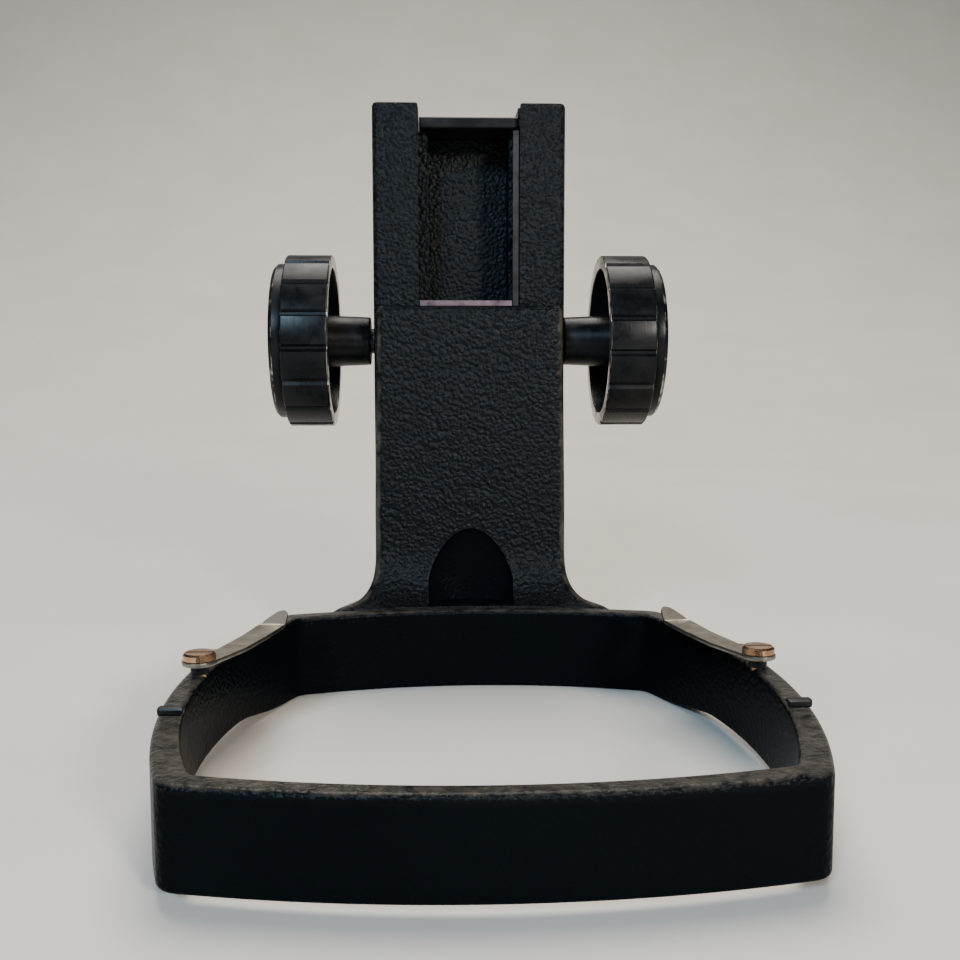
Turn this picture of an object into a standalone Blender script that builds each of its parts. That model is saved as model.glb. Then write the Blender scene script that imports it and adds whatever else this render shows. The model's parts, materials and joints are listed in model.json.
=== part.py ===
"""Focusing mount for a stereo microscope head.

A cast housing with a dovetail channel carries a yoke on a rack and pinion.  The yoke's wide ring
holds the microscope head, and two spring clips on the ring keep the head down.  Two knobs turn the
pinion and so raise or lower the yoke.  Metres, +X to the right, +Y to the rear, +Z up.  The origin
is the middle of the underside of the whole mount's box.
"""

import math

import bmesh
import bpy
import numpy as np
from mathutils import Matrix, Vector

MM = 0.001
GAP = 0.3 * MM                      # clearance between pieces that touch
RUNNING_GAP = 0.1 * MM              # radial clearance of a turning shaft

# Housing: a cast channel, open to the front
FACE_Y = 53.6 * MM                  # front face of the two rails
HOUSING_WIDTH = 52.0 * MM
HOUSING_DEPTH = 38.8 * MM
HOUSING_HEIGHT = 154.9 * MM
HOUSING_EDGE = 1.2 * MM             # radius of the casting's long edges
CHANNEL_HALF = 13.7 * MM            # half of the gap between the rails
DOVETAIL_DEPTH = 7.0 * MM
DOVETAIL_FLARE = DOVETAIL_DEPTH / math.tan(math.radians(60.0))
POCKET_HALF = 11.2 * MM             # relief behind the rack
POCKET_BACK = 19.0 * MM
POCKET_LOW_Z = 12.0 * MM
SEAT_Z = 148.3 * MM                 # shoulder that the stop plate sits on
STOP_PLATE_THICKNESS = 2.9 * MM
STOP_PLATE_FRONT = 2.6 * MM
STAND_HOLE_X = 12.7 * MM
STAND_HOLE_Z = (45.0 * MM, 115.0 * MM)
STAND_HOLE_RADIUS = 2.6 * MM
STAND_HOLE_DEPTH = 5.5 * MM

# Yoke: the slab in front of the housing, and the ring that grows out of its foot
SLAB_HALF_TOP = 25.1 * MM
SLAB_HALF_LOW = 25.9 * MM
SLAB_DRAFT_Z = 45.0 * MM            # the slab narrows from here to its top
SLAB_FRONT = -5.8 * MM              # measured from the rails' front face
SLAB_BACK = -0.4 * MM
SLAB_TOP = 100.7 * MM
SLAB_EDGE = 2.0 * MM
RIM_Z = 20.5 * MM
FLARE_TOP = 36.0 * MM
FLARE_SIDE = 15.0 * MM              # how far the foot spreads to each side, at its front
FLARE_BACK_SIDE = 5.0 * MM          # and at its back
FLARE_SIDE_POWER = 3.5              # the sides spread late and tightly, the front in a true quarter
FLARE_FRONT = 8.6 * MM              # how far the foot spreads to the front
FLARE_BOW = 3.8 * MM                # how much further it reaches at its corners, along the ring
SCOOP_FLOOR = RIM_Z + 0.15 * MM     # the scoop is an arch from the front, half an ellipse in plan
SCOOP_HALF = 11.5 * MM
SCOOP_DEPTH = 3.4 * MM              # behind the slab's front face
SCOOP_SPRING_Z = 27.0 * MM          # the arch springs from here
SCOOP_TOP_Z = 40.6 * MM
SCOOP_POWER = 1.3
FOOT_Z = 0.6 * MM                   # underside of the foot, just above the ring's
RING_WALL = 4.6 * MM
RING_EDGE = 1.2 * MM
RING_BACK_CORNER = (44.2 * MM, -25.0 * MM)      # inner corners, from the rails' front face
RING_FRONT_CORNER = (48.5 * MM, -135.0 * MM)
RING_BACK_RISE = 7.0 * MM
RING_SIDE_RISE = 11.2 * MM
RING_FRONT_RISE = 6.4 * MM
SIDE_BOTTOM_Z = 2.8 * MM            # the ring's sides and front are shallower than its back
SLOPE_START = -30.0 * MM
SLOPE_END = -55.0 * MM

# Rack and pinion
AXIS_Y = 12.5 * MM                  # behind the rails' front face
AXIS_Z = 91.6 * MM
MODULE = 0.8 * MM
PINION_TEETH = 12
PITCH_RADIUS = MODULE * PINION_TEETH / 2.0
ADDENDUM = 0.7 * MM
DEDENDUM = 1.0 * MM
TOOTH_TIP = 0.45 * MM
TOOTH_ROOT = 1.35 * MM
PINION_LENGTH = 10.0 * MM
SHAFT_RADIUS = 3.5 * MM
BUSH_RADIUS = 4.6 * MM
SLIDE_LOW_Z = 27.0 * MM
SLIDE_HIGH_Z = 102.3 * MM
RACK_HALF = 3.2 * MM
RACK_FRONT = 3.0 * MM
RACK_BACK = AXIS_Y - PITCH_RADIUS - DEDENDUM
GIB_THICKNESS = 1.5 * MM
GIB_LOW_Z = 8.0 * MM
GIB_HIGH_Z = 147.5 * MM
GIB_SCREW_Z = (35.0 * MM, 80.0 * MM, 125.0 * MM)
RACK_LOW_Z = SLIDE_LOW_Z + 1.0 * MM
RACK_HIGH_Z = SLIDE_HIGH_Z - 1.0 * MM

# Screws
GIB_SCREW_RADIUS = 1.5 * MM
STOP_SCREW_RADIUS = 1.2 * MM
STOP_HEAD_RADIUS = 2.4 * MM
STOP_SCREW_X = (-7.0 * MM, 7.0 * MM)
STOP_SCREW_Y = FACE_Y + 28.0 * MM
SLIDE_SCREW_RADIUS = 1.5 * MM
SLIDE_HEAD_RADIUS = 2.7 * MM
SLIDE_SCREW_X = 8.5 * MM
SLIDE_SCREW_Z = (36.0 * MM, 92.0 * MM)
RACK_SCREW_RADIUS = 1.0 * MM
RACK_HEAD_RADIUS = 1.8 * MM
RACK_SCREW_Z = (33.0 * MM, 65.0 * MM, 97.0 * MM)

# Knobs
KNOB_RADIUS = 23.86 * MM
KNOB_SKIRT = 12.4 * MM
KNOB_INNER = 20.3 * MM
KNOB_WEB = 3.2 * MM
HUB_RADIUS = 7.5 * MM
HUB_END_RADIUS = 6.7 * MM
CAP_RADIUS = 21.46 * MM
CAP_THICKNESS = 3.2 * MM
CAP_CHAMFER = 0.9 * MM
GROOVE_COUNT = 16
GROOVE_WIDTH = 1.8 * MM
GROOVE_DEPTH = 0.8 * MM
KNOB_RIM_LEFT = 37.7 * MM
KNOB_RIM_RIGHT = 37.2 * MM
HUB_START_LEFT = 27.4 * MM
HUB_START_RIGHT = 26.8 * MM

# Spring clips, screwed to the rim of the ring
CLIP_X = 58.9 * MM
CLIP_Y = -77.0 * MM
POST_RADIUS = 1.9 * MM
POST_HEIGHT = 2.0 * MM
CLIP_THICKNESS = 0.9 * MM
CLIP_HUB_RADIUS = 3.7 * MM
SCREW_HEAD_RADIUS = 3.4 * MM
SCREW_HEAD_HEIGHT = 1.5 * MM
SCREW_SHANK_RADIUS = 1.4 * MM
CLIP_GAP = 0.15 * MM
CLIP_TIP_LENGTH = 5.2 * MM
CLIP_TIP_SPOTS = ((0.98, 0.60), (0.90, 0.88), (0.66, 1.00), (0.36, 0.98), (0.08, 0.84),
                  (-0.45, 0.42))    # shares of the half width, inner side first, and of the length
CLIP_TIP_RISE = math.radians(45.0)
CLIP_SLANT = 0.22                   # how far the arm leans inwards, per unit of its length
CLIP_SCREW_DEPTH = 6.5 * MM
LUG_X = 58.2 * MM
LUG_Y = -106.0 * MM
LUG_HALF_LENGTH = 2.4 * MM
LUG_HALF_WIDTH = 1.0 * MM
LUG_HEIGHT = 2.0 * MM
FACING_BACK = (-math.pi / 2.0, 0.0, 0.0)        # turns a piece's own +Z to +Y


def clear_scene():
    """Remove every object that the scene starts with."""
    for item in list(bpy.data.objects):
        bpy.data.objects.remove(item, do_unlink=True)


def make_collection(name):
    """Add a collection to the scene."""
    group = bpy.data.collections.new(name)
    bpy.context.scene.collection.children.link(group)
    return group


def make_material(name, colour, roughness, metallic):
    """A Principled material with one colour."""
    material = bpy.data.materials.new(name)
    material.use_nodes = True
    shader = material.node_tree.nodes["Principled BSDF"]
    shader.inputs["Base Color"].default_value = (*colour, 1.0)
    shader.inputs["Roughness"].default_value = roughness
    shader.inputs["Metallic"].default_value = metallic
    return material


clear_scene()
PARTS = make_collection("microscope_focus_mount")
CUTTERS = make_collection("cutters")

WRINKLE_PAINT = make_material("wrinkle_paint", (0.018, 0.020, 0.024), 0.45, 0.0)
BLACK_METAL = make_material("black_metal", (0.015, 0.015, 0.017), 0.28, 0.3)
MACHINED = make_material("machined_metal", (0.24, 0.20, 0.20), 0.35, 1.0)
BRASS = make_material("brass", (0.62, 0.42, 0.20), 0.32, 1.0)
NICKEL = make_material("nickel", (0.66, 0.63, 0.58), 0.28, 1.0)
STEEL = make_material("steel", (0.50, 0.50, 0.51), 0.30, 1.0)


def link_part(item, material, parent=None):
    """Put an object in the parts collection with its own copy of a material, keeping its place."""
    for group in list(item.users_collection):
        group.objects.unlink(item)
    PARTS.objects.link(item)
    own = material.copy()
    own.name = item.name + "_" + material.name
    item.data.materials.clear()
    item.data.materials.append(own)
    if parent is not None:
        place = item.location.copy()
        item.parent = parent
        item.location = place - parent.location
    return item


def link_cutter(item):
    """Put an object with the cutters: shown as a wire, never rendered."""
    for group in list(item.users_collection):
        group.objects.unlink(item)
    CUTTERS.objects.link(item)
    item.hide_render = True
    item.display_type = "WIRE"
    return item


def object_from_bmesh(name, shape):
    """Turn a bmesh into an object, with its faces pointing out."""
    bmesh.ops.recalc_face_normals(shape, faces=shape.faces)
    mesh = bpy.data.meshes.new(name)
    shape.to_mesh(mesh)
    shape.free()
    item = bpy.data.objects.new(name, mesh)
    PARTS.objects.link(item)
    return item


def make_box(name, low, high):
    """A box between two corners."""
    low = Vector(low)
    high = Vector(high)
    size = high - low
    shape = bmesh.new()
    placing = Matrix.Translation((low + high) / 2.0) @ Matrix.Diagonal((*size, 1.0))
    bmesh.ops.create_cube(shape, size=1.0, matrix=placing)
    return object_from_bmesh(name, shape)


def add_cylinder(shape, radius, start, end, segments, end_radius=None):
    """Add a closed cylinder or cone, running from one point to another, to a bmesh."""
    start = Vector(start)
    end = Vector(end)
    along = end - start
    turn = along.to_track_quat("Z", "Y").to_matrix().to_4x4()
    bmesh.ops.create_cone(
        shape, cap_ends=True, segments=segments, radius1=radius,
        radius2=radius if end_radius is None else end_radius, depth=along.length,
        matrix=Matrix.Translation((start + end) / 2.0) @ turn)


def make_cylinders(name, radius, runs, segments=24):
    """One object of several cylinders of the same radius."""
    shape = bmesh.new()
    for start, end in runs:
        add_cylinder(shape, radius, start, end, segments)
    return object_from_bmesh(name, shape)


def make_prism(name, outline, low, high, axis="Z"):
    """A flat outline pushed along an axis; the outline lies in the other two axes, in order."""
    shape = bmesh.new()
    corners = []
    for a, b in outline:
        point = {"X": (low, a, b), "Y": (a, low, b), "Z": (a, b, low)}[axis]
        corners.append(shape.verts.new(point))
    face = shape.faces.new(corners)
    pushed = bmesh.ops.extrude_face_region(shape, geom=[face])
    step = {"X": Vector((1, 0, 0)), "Y": Vector((0, 1, 0)), "Z": Vector((0, 0, 1))}[axis]
    moved = [v for v in pushed["geom"] if isinstance(v, bmesh.types.BMVert)]
    bmesh.ops.translate(shape, verts=moved, vec=step * (high - low))
    return object_from_bmesh(name, shape)


def make_turned(name, profile, steps=48, closed=True):
    """A turned piece about its own Z; the profile is (radius, height), down the outside first."""
    shape = bmesh.new()
    turns = np.linspace(0.0, 2.0 * math.pi, steps, endpoint=False)
    rings = []
    for radius, height in profile:
        around = turns if radius > 0.0 else turns[:1]
        rings.append([shape.verts.new((radius * math.cos(t), radius * math.sin(t), height))
                      for t in around])
    if closed:
        rings.append(rings[0])
    for upper, lower in zip(rings[:-1], rings[1:]):
        for i in range(steps):
            j = (i + 1) % steps
            corners = [upper[i % len(upper)], upper[j % len(upper)],
                       lower[j % len(lower)], lower[i % len(lower)]]
            shape.faces.new(list(dict.fromkeys(corners)))
    return shade_round(object_from_bmesh(name, shape))


def cut(item, cutter, operation="DIFFERENCE"):
    """Cut an object by another, or join the two with UNION."""
    modifier = item.modifiers.new(operation.lower(), "BOOLEAN")
    modifier.object = cutter
    modifier.operation = operation
    modifier.solver = "EXACT"
    link_cutter(cutter)
    return item


def round_edges(item, width, segments=2, angle=40.0):
    """Round an object's sharp edges."""
    modifier = item.modifiers.new("rounded", "BEVEL")
    modifier.width = width
    modifier.segments = segments
    modifier.limit_method = "ANGLE"
    modifier.angle_limit = math.radians(angle)
    return item


def shade_round(item):
    """Smooth shading that keeps sharp edges."""
    item.data.shade_smooth()
    item.data.set_sharp_from_angle(angle=math.radians(35.0))
    return item


def make_empty(name, place):
    """An empty on a joint's axis, for the pieces that move with it."""
    empty = bpy.data.objects.new(name, None)
    empty.location = place
    empty.empty_display_size = 0.01
    PARTS.objects.link(empty)
    return empty


def arc(start, end, rise, count):
    """Points of a circular arc that stands off its chord by rise, to the right of the way."""
    start = np.array(start)
    end = np.array(end)
    half = np.linalg.norm(end - start) / 2.0
    way = (end - start) / (2.0 * half)
    side = np.array((way[1], -way[0]))
    radius = (half ** 2 + rise ** 2) / (2.0 * rise)
    middle = (start + end) / 2.0 - side * (radius - rise)
    swing = math.asin(half / radius)
    points = []
    for turn in np.linspace(-swing, swing, count):
        points.append(tuple(middle + radius * (side * math.cos(turn) + way * math.sin(turn))))
    return points


def face_y(depth):
    """The Y of a plane at a depth behind the rails' front face."""
    return FACE_Y + depth


# --- Housing: fixed to the stand -----------------------------------------------------------------

def build_housing():
    """The cast channel with its dovetail, pocket, shaft bore and screw holes."""
    half = HOUSING_WIDTH / 2.0
    back = face_y(HOUSING_DEPTH)
    housing = make_box("focus_housing", (-half, FACE_Y, 0.0), (half, back, HOUSING_HEIGHT))
    round_edges(housing, HOUSING_EDGE)

    wide = CHANNEL_HALF + DOVETAIL_FLARE
    over = 1.0 * MM
    front = CHANNEL_HALF - over * DOVETAIL_FLARE / DOVETAIL_DEPTH
    channel = [(-front, face_y(-over)), (front, face_y(-over)),
               (wide, face_y(DOVETAIL_DEPTH)), (-wide, face_y(DOVETAIL_DEPTH))]
    cut(housing, make_prism("channel_cutter", channel, -over, HOUSING_HEIGHT + over))
    cut(housing, make_box("pocket_cutter",
                          (-POCKET_HALF, face_y(DOVETAIL_DEPTH - over), POCKET_LOW_Z),
                          (POCKET_HALF, face_y(POCKET_BACK), HOUSING_HEIGHT + over)))
    cut(housing, make_box("seat_cutter", (-CHANNEL_HALF, face_y(-over), SEAT_Z),
                          (CHANNEL_HALF, back + over, HOUSING_HEIGHT + over)))
    bore = ((-half - over, face_y(AXIS_Y), AXIS_Z), (half + over, face_y(AXIS_Y), AXIS_Z))
    cut(housing, make_cylinders("shaft_bore_cutter", BUSH_RADIUS + GAP, [bore], 32))

    stand_holes = []
    for x in (-STAND_HOLE_X, STAND_HOLE_X):
        for z in STAND_HOLE_Z:
            stand_holes.append(((x, back + over, z), (x, back - STAND_HOLE_DEPTH, z)))
    cut(housing, make_cylinders("stand_hole_cutter", STAND_HOLE_RADIUS, stand_holes))

    gib_y = face_y(DOVETAIL_DEPTH / 2.0)
    gib_holes = [((CHANNEL_HALF, gib_y, z), (half + over, gib_y, z)) for z in GIB_SCREW_Z]
    cut(housing, make_cylinders("gib_hole_cutter", GIB_SCREW_RADIUS + GAP, gib_holes, 20))

    plate_holes = [((x, STOP_SCREW_Y, SEAT_Z - 6.0 * MM), (x, STOP_SCREW_Y, SEAT_Z + over))
                   for x in STOP_SCREW_X]
    cut(housing, make_cylinders("stop_hole_cutter", STOP_SCREW_RADIUS + GAP, plate_holes, 20))
    return link_part(housing, WRINKLE_PAINT)


def build_stop_plate():
    """The plate that closes the channel's top and stops the slide, with its two screws."""
    low = SEAT_Z + GAP
    high = low + STOP_PLATE_THICKNESS
    side = CHANNEL_HALF - GAP
    plate = make_box("top_stop_plate", (-side, face_y(STOP_PLATE_FRONT), low),
                     (side, face_y(HOUSING_DEPTH - 0.5 * MM), high))
    round_edges(plate, 0.3 * MM, 1)
    holes = [((x, STOP_SCREW_Y, low - GAP), (x, STOP_SCREW_Y, high + GAP)) for x in STOP_SCREW_X]
    cut(plate, make_cylinders("plate_hole_cutter", STOP_SCREW_RADIUS + GAP, holes, 20))
    link_part(plate, BLACK_METAL)

    for number, x in enumerate(STOP_SCREW_X, 1):
        place = (x, STOP_SCREW_Y, high + GAP)
        head = 1.2 * MM
        profile = screw_profile(STOP_HEAD_RADIUS, head, STOP_SCREW_RADIUS, high - SEAT_Z + 4.0 * MM)
        screw = make_turned(f"stop_plate_screw_{number}", profile, 20, closed=False)
        screw.location = place
        cut(screw, slot_cutter(f"stop_slot_{number}", x, STOP_SCREW_Y, place[2] + head, 3.0 * MM))
        link_part(screw, STEEL)


def screw_profile(head_radius, head_height, shank_radius, length):
    """A screw's outline from the middle of its head down; its head sits on height 0."""
    edge = 0.3 * MM
    return [(0.0, head_height), (head_radius - edge, head_height),
            (head_radius, head_height - edge), (head_radius, 0.0), (shank_radius, 0.0),
            (shank_radius, -length), (0.0, -length)]


def slot_cutter(name, x, y, top, reach):
    """A box that cuts a screwdriver slot across an upright screw's head."""
    return make_box(name, (x - reach, y - 0.4 * MM, top - 0.6 * MM),
                    (x + reach, y + 0.4 * MM, top + 0.6 * MM))


def build_gib():
    """The adjusting strip beside the dovetail slide, and the grub screws that push on it."""
    outer_front = CHANNEL_HALF - GAP
    outer_back = CHANNEL_HALF + DOVETAIL_FLARE - GAP
    front = face_y(GAP)
    back = face_y(DOVETAIL_DEPTH - GAP)
    outline = [(outer_front, front), (outer_back, back),
               (outer_back - GIB_THICKNESS, back), (outer_front - GIB_THICKNESS, front)]
    link_part(make_prism("dovetail_gib", outline, GIB_LOW_Z, GIB_HIGH_Z), MACHINED)

    gib_y = face_y(DOVETAIL_DEPTH / 2.0)
    start = CHANNEL_HALF + DOVETAIL_FLARE / 2.0 + 0.9 * MM
    end = HOUSING_WIDTH / 2.0 - 0.5 * MM
    for number, z in enumerate(GIB_SCREW_Z, 1):
        run = ((start, gib_y, z), (end, gib_y, z))
        link_part(make_cylinders(f"gib_screw_{number}", GIB_SCREW_RADIUS, [run], 20), STEEL)


def build_bushes():
    """The bearing bush in each side wall of the housing."""
    inner = POCKET_HALF + 0.5 * MM
    outer = HOUSING_WIDTH / 2.0
    length = outer - inner
    bore = SHAFT_RADIUS + RUNNING_GAP
    profile = [(BUSH_RADIUS, length), (BUSH_RADIUS, 0.0), (bore, 0.0), (bore, length)]
    for name, way in (("shaft_bush_left", -1.0), ("shaft_bush_right", 1.0)):
        bush = make_turned(name, profile, 32)
        bush.rotation_euler = (0.0, way * math.pi / 2.0, 0.0)
        bush.location = (way * inner, face_y(AXIS_Y), AXIS_Z)
        link_part(bush, BRASS)


# --- Yoke: slides on the housing -----------------------------------------------------------------

def ring_outline(grow):
    """The ring's outline, grown outwards from its inner edge; four arcs, right side first."""
    back = (RING_BACK_CORNER[0] + grow, face_y(RING_BACK_CORNER[1] + grow))
    front = (RING_FRONT_CORNER[0] + grow, face_y(RING_FRONT_CORNER[1] - grow))
    front_left = (-front[0], front[1])
    back_left = (-back[0], back[1])
    points = arc(front, back, RING_SIDE_RISE, 15)[:-1]
    points += arc(back, back_left, RING_BACK_RISE, 11)[:-1]
    points += arc(back_left, front_left, RING_SIDE_RISE, 15)[:-1]
    points += arc(front_left, front, RING_FRONT_RISE, 11)[:-1]
    return points


def build_ring():
    """The ring as a flat outline with a hole, given its height and rounded edges."""
    curve = bpy.data.curves.new("ring_outline", "CURVE")
    curve.dimensions = "2D"
    curve.fill_mode = "BOTH"
    curve.extrude = RIM_Z / 2.0
    for outline in (ring_outline(RING_WALL), ring_outline(0.0)):
        spline = curve.splines.new("POLY")
        spline.points.add(len(outline) - 1)
        for point, (x, y) in zip(spline.points, outline):
            point.co = (x, y, 0.0, 1.0)
        spline.use_cyclic_u = True
    guide = bpy.data.objects.new("ring_guide", curve)
    bpy.context.scene.collection.objects.link(guide)
    guide.location.z = RIM_Z / 2.0
    bpy.context.view_layer.update()
    flat = guide.evaluated_get(bpy.context.evaluated_depsgraph_get())
    mesh = bpy.data.meshes.new_from_object(flat)
    shape = bmesh.new()
    shape.from_mesh(mesh)
    bmesh.ops.remove_doubles(shape, verts=shape.verts, dist=0.00001)
    bmesh.ops.transform(shape, matrix=guide.matrix_world, verts=shape.verts)
    bmesh.ops.dissolve_limit(shape, angle_limit=math.radians(0.5), verts=shape.verts,
                             edges=shape.edges)
    bpy.data.objects.remove(guide, do_unlink=True)
    bpy.data.meshes.remove(mesh)
    return object_from_bmesh("ring_body", shape)


def foot_section(height):
    """Half widths at front and back, front face and its bow: straight above, spreading below."""
    drop = min(max((FLARE_TOP - height) / (FLARE_TOP - RIM_Z), 0.0), 1.0)
    power = FLARE_SIDE_POWER
    sideways = 1.0 - max(1.0 - drop ** power, 0.0) ** (1.0 / power)
    forward = 1.0 - math.sqrt(max(1.0 - drop ** 2, 0.0))
    climb = min(max((height - SLAB_DRAFT_Z) / (SLAB_TOP - SLAB_DRAFT_Z), 0.0), 1.0)
    half = SLAB_HALF_LOW + (SLAB_HALF_TOP - SLAB_HALF_LOW) * climb
    half_front = half + FLARE_SIDE * sideways
    half_back = half + FLARE_BACK_SIDE * sideways
    return half_front, half_back, SLAB_FRONT - FLARE_FRONT * forward, FLARE_BOW * forward


def build_slab():
    """The slab and its spreading foot, lofted through rounded sections from foot to top."""
    turns = np.linspace(0.0, math.pi / 2.0, 4)
    heights = [FOOT_Z, RIM_Z - 0.5 * MM]
    heights += [FLARE_TOP - (FLARE_TOP - RIM_Z) * math.cos(t)
                for t in np.linspace(0.0, math.pi / 2.0, 9)[1:]]
    heights += [SLAB_DRAFT_Z, SLAB_TOP - SLAB_EDGE]
    sections = [(height, 0.0) for height in heights]
    sections += [(SLAB_TOP - SLAB_EDGE * (1.0 - math.sin(t)), SLAB_EDGE * (1.0 - math.cos(t)))
                 for t in turns[1:]]
    shape = bmesh.new()
    rings = []
    for height, shrink in sections:
        half, half_back, front, bow = foot_section(height)
        half -= shrink
        half_back -= shrink
        corner = max(SLAB_EDGE - shrink, 0.2 * MM)
        right = [(half - corner * (1.0 - math.sin(t)), corner * (1.0 - math.cos(t)))
                 for t in turns]
        across = [(half * share, 0.0) for share in np.linspace(-0.8, 0.8, 9)]
        line = [(-x, y) for x, y in reversed(right)] + across + right
        points = [(x, front + shrink + y - bow * (x / half) ** 2) for x, y in line]
        points += [(half_back, SLAB_BACK), (-half_back, SLAB_BACK)]
        rings.append([shape.verts.new((x, face_y(y), height)) for x, y in points])
    count = len(rings[0])
    for lower, upper in zip(rings[:-1], rings[1:]):
        for i in range(count):
            j = (i + 1) % count
            shape.faces.new((lower[i], lower[j], upper[j], upper[i]))
    shape.faces.new(rings[0])
    shape.faces.new(rings[-1])
    return object_from_bmesh("yoke_casting", shape)


def build_scoop_cutter():
    """The scoop's core: arched sections, each half an ellipse behind the foot's front face."""
    shape = bmesh.new()
    rings = []
    sections = [(SCOOP_FLOOR, 1.0)]
    for share in (1.0, 0.97, 0.92, 0.85, 0.76, 0.65, 0.52, 0.38, 0.23, 0.08):
        rise = (1.0 - share ** 2) ** (1.0 / SCOOP_POWER)
        sections.append((SCOOP_SPRING_Z + (SCOOP_TOP_Z - SCOOP_SPRING_Z) * rise, share))
    far = face_y(-30.0 * MM)
    for height, share in sections:
        half = SCOOP_HALF * share
        front = foot_section(height)[2]
        deep = SLAB_FRONT + SCOOP_DEPTH * share - front
        points = [(half * math.cos(t), face_y(front + deep * math.sin(t)))
                  for t in np.linspace(0.0, math.pi, 17)]
        points += [(-half, far), (half, far)]
        rings.append([shape.verts.new((x, y, height)) for x, y in points])
    for lower, upper in zip(rings[:-1], rings[1:]):
        for i in range(len(lower)):
            j = (i + 1) % len(lower)
            shape.faces.new((lower[i], lower[j], upper[j], upper[i]))
    shape.faces.new(rings[0])
    shape.faces.new(rings[-1])
    return object_from_bmesh("scoop_cutter", shape)


def build_yoke(parent):
    """The yoke casting: slab, foot and ring in one, with the scoop for the head's boss."""
    yoke = build_slab()
    screw_holes = []
    for x, z in slide_screw_places():
        screw_holes.append(((x, face_y(SLAB_FRONT / 2.0), z), (x, face_y(1.0 * MM), z)))
    cut(yoke, make_cylinders("slab_hole_cutter", SLIDE_SCREW_RADIUS + GAP, screw_holes, 16))

    ring = round_edges(build_ring(), RING_EDGE)
    ring.modifiers.new("flat_faces", "TRIANGULATE")   # so that the cuts below close exactly
    rim_holes = []
    for way in (-1.0, 1.0):
        x = way * CLIP_X
        rim_holes.append(((x, face_y(CLIP_Y), RIM_Z - 7.0 * MM), (x, face_y(CLIP_Y), RIM_Z + MM)))
    cut(ring, make_cylinders("rim_hole_cutter", SCREW_SHANK_RADIUS + 0.2 * MM, rim_holes, 16))
    far = 200.0 * MM
    slope = [(face_y(-far), -MM), (face_y(SLOPE_START), -MM), (face_y(SLOPE_START), 0.0),
             (face_y(SLOPE_END), SIDE_BOTTOM_Z), (face_y(-far), SIDE_BOTTOM_Z)]
    cut(ring, make_prism("underside_cutter", slope, -far, far, "X"))
    cut(yoke, ring, "UNION")

    cut(yoke, build_scoop_cutter())
    return link_part(yoke, WRINKLE_PAINT, parent)


def slide_screw_places():
    """The four screws that hold the dovetail slide to the slab, as (x, z)."""
    return [(way * SLIDE_SCREW_X, z) for way in (-1.0, 1.0) for z in SLIDE_SCREW_Z]


def build_dovetail(parent):
    """The machined dovetail slide behind the slab, and its four screws."""
    back = DOVETAIL_DEPTH - GAP
    neck = CHANNEL_HALF - GAP
    flare = DOVETAIL_FLARE * back / DOVETAIL_DEPTH
    room = GIB_THICKNESS + GAP
    outline = [(-neck, face_y(SLAB_BACK + GAP)), (-neck, FACE_Y), (-neck - flare, face_y(back)),
               (neck + flare - room, face_y(back)), (neck - room, FACE_Y),
               (neck - room, face_y(SLAB_BACK + GAP))]
    slide = make_prism("dovetail_slide", outline, SLIDE_LOW_Z, SLIDE_HIGH_Z)
    over = MM
    groove = RACK_HALF + GAP
    cut(slide, make_box("rack_groove_cutter",
                        (-groove, face_y(RACK_FRONT - GAP), SLIDE_LOW_Z - over),
                        (groove, face_y(back + over), SLIDE_HIGH_Z + over)))
    deep = 3.2 * MM
    holes = []
    sinks = []
    for x, z in slide_screw_places():
        holes.append(((x, face_y(-over), z), (x, face_y(back + over), z)))
        sinks.append(((x, face_y(back - deep), z), (x, face_y(back + over), z)))
    cut(slide, make_cylinders("slide_hole_cutter", SLIDE_SCREW_RADIUS + GAP, holes, 16))
    cut(slide, make_cylinders("slide_sink_cutter", SLIDE_HEAD_RADIUS + GAP, sinks, 20))
    rack_holes = [((0.0, face_y(-over), z), (0.0, face_y(RACK_FRONT), z)) for z in RACK_SCREW_Z]
    cut(slide, make_cylinders("rack_tap_cutter", RACK_SCREW_RADIUS + GAP, rack_holes, 16))
    link_part(slide, MACHINED, parent)

    seat = back - deep + GAP
    profile = screw_profile(SLIDE_HEAD_RADIUS, 2.0 * MM, SLIDE_SCREW_RADIUS, seat + 2.2 * MM)
    for number, (x, z) in enumerate(slide_screw_places(), 1):
        screw = make_turned(f"slide_screw_{number}", profile, 20, closed=False)
        screw.rotation_euler = FACING_BACK
        screw.location = (x, face_y(seat), z)
        link_part(screw, STEEL, parent)


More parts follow.
